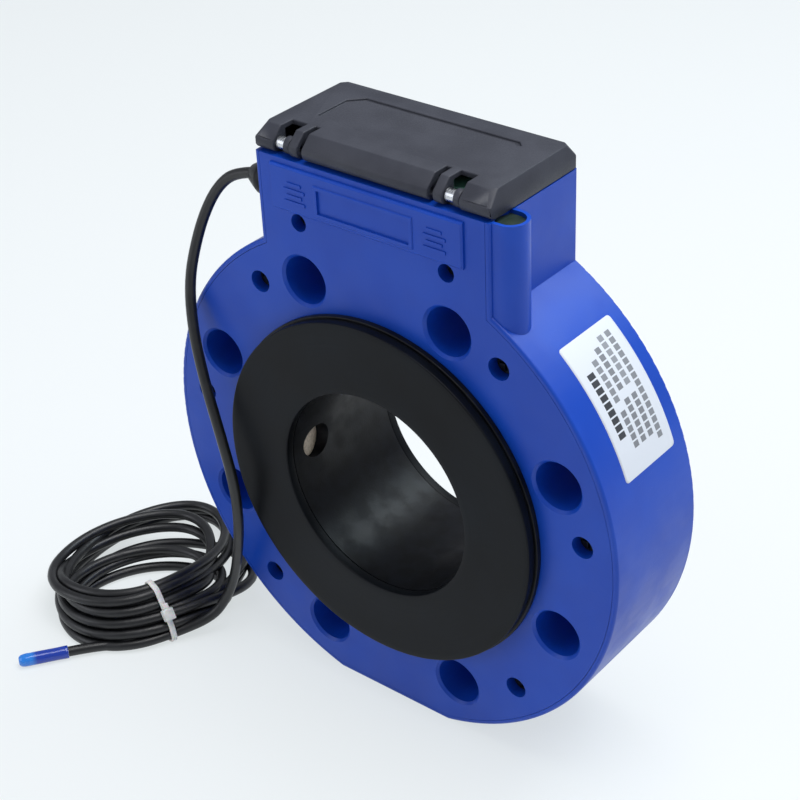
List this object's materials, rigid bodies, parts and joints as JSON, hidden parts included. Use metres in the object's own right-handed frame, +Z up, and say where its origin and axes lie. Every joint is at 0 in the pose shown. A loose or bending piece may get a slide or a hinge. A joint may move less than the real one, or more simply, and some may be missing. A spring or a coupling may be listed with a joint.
{
  "type": "ultrasonic flow meter",
  "caption": "Wafer-type ultrasonic flow meter: a blue ring body with a black lined bore and gaskets, a lidded display box on top, and a coiled signal cable.",
  "frame": {"origin": "on the bore's axis, midway between the two gasket faces", "axes": "+Y along the bore from the cover side to the rear, +Z up to the display box, +X to the right seen from the cover side"},
  "size_m": [0.2594, 0.1296, 0.2221],
  "materials": {
    "housing_blue": "satin moulded ABS",
    "tube_black": "satin black moulded plastic",
    "gasket_rubber": "smooth black rubber",
    "lid_black": "fine-grained dark plastic",
    "steel": "plain steel",
    "cable_pvc": "satin black sheath",
    "sleeve_blue": "glossy blue sleeve",
    "tie_nylon": "natural nylon",
    "label_film": "white film",
    "window_glass": "clear greenish pane",
    "board_green": "solder-masked laminate",
    "lcd_grey": "grey-green display",
    "potting": "poured sealing compound",
    "cell_green": "wrapped cell",
    "sensor_tan": "filled epoxy"
  },
  "bodies": {
    "housing": {"body_shell": "housing_blue", "front_cover": "housing_blue", "cover_seal": "gasket_rubber", "cover_screws": "steel", "flow_tube": "tube_black", "front_flange_ring": "tube_black", "front_gasket": "gasket_rubber", "rear_gasket": "gasket_rubber", "upstream_transducer": "steel", "downstream_transducer": "steel", "upstream_transducer_face": "sensor_tan", "downstream_transducer_face": "sensor_tan", "upstream_lead": "cable_pvc", "downstream_lead": "cable_pvc", "column_filler": "potting", "main_board": "board_green", "board_screws": "steel", "battery_holder": "tube_black", "battery_cells": "cell_green", "lcd_module": "lcd_grey", "display_bezel": "lid_black", "bezel_screws": "steel", "display_window": "window_glass", "left_hinge_pin": "steel", "right_hinge_pin": "steel", "left_hinge_bush": "steel", "right_hinge_bush": "steel", "gland_body": "tube_black", "gland_nut": "tube_black", "gland_seal": "gasket_rubber", "gland_locknut": "tube_black", "inner_cable": "cable_pvc", "cable_lead": "cable_pvc", "cable_coil": "cable_pvc", "cable_tail": "cable_pvc", "cable_sleeve": "sleeve_blue", "cable_tie": "tie_nylon", "rating_label": "label_film"},
    "lid": {"lid": "lid_black"}
  },
  "joints": [
    {"name": "lid_hinge", "type": "hinge", "parent": "housing", "child": "lid", "pos_m": [0, -0.0204, 0.122], "axis": [1, 0, 0], "range_deg": [0, 100]}
  ]
}
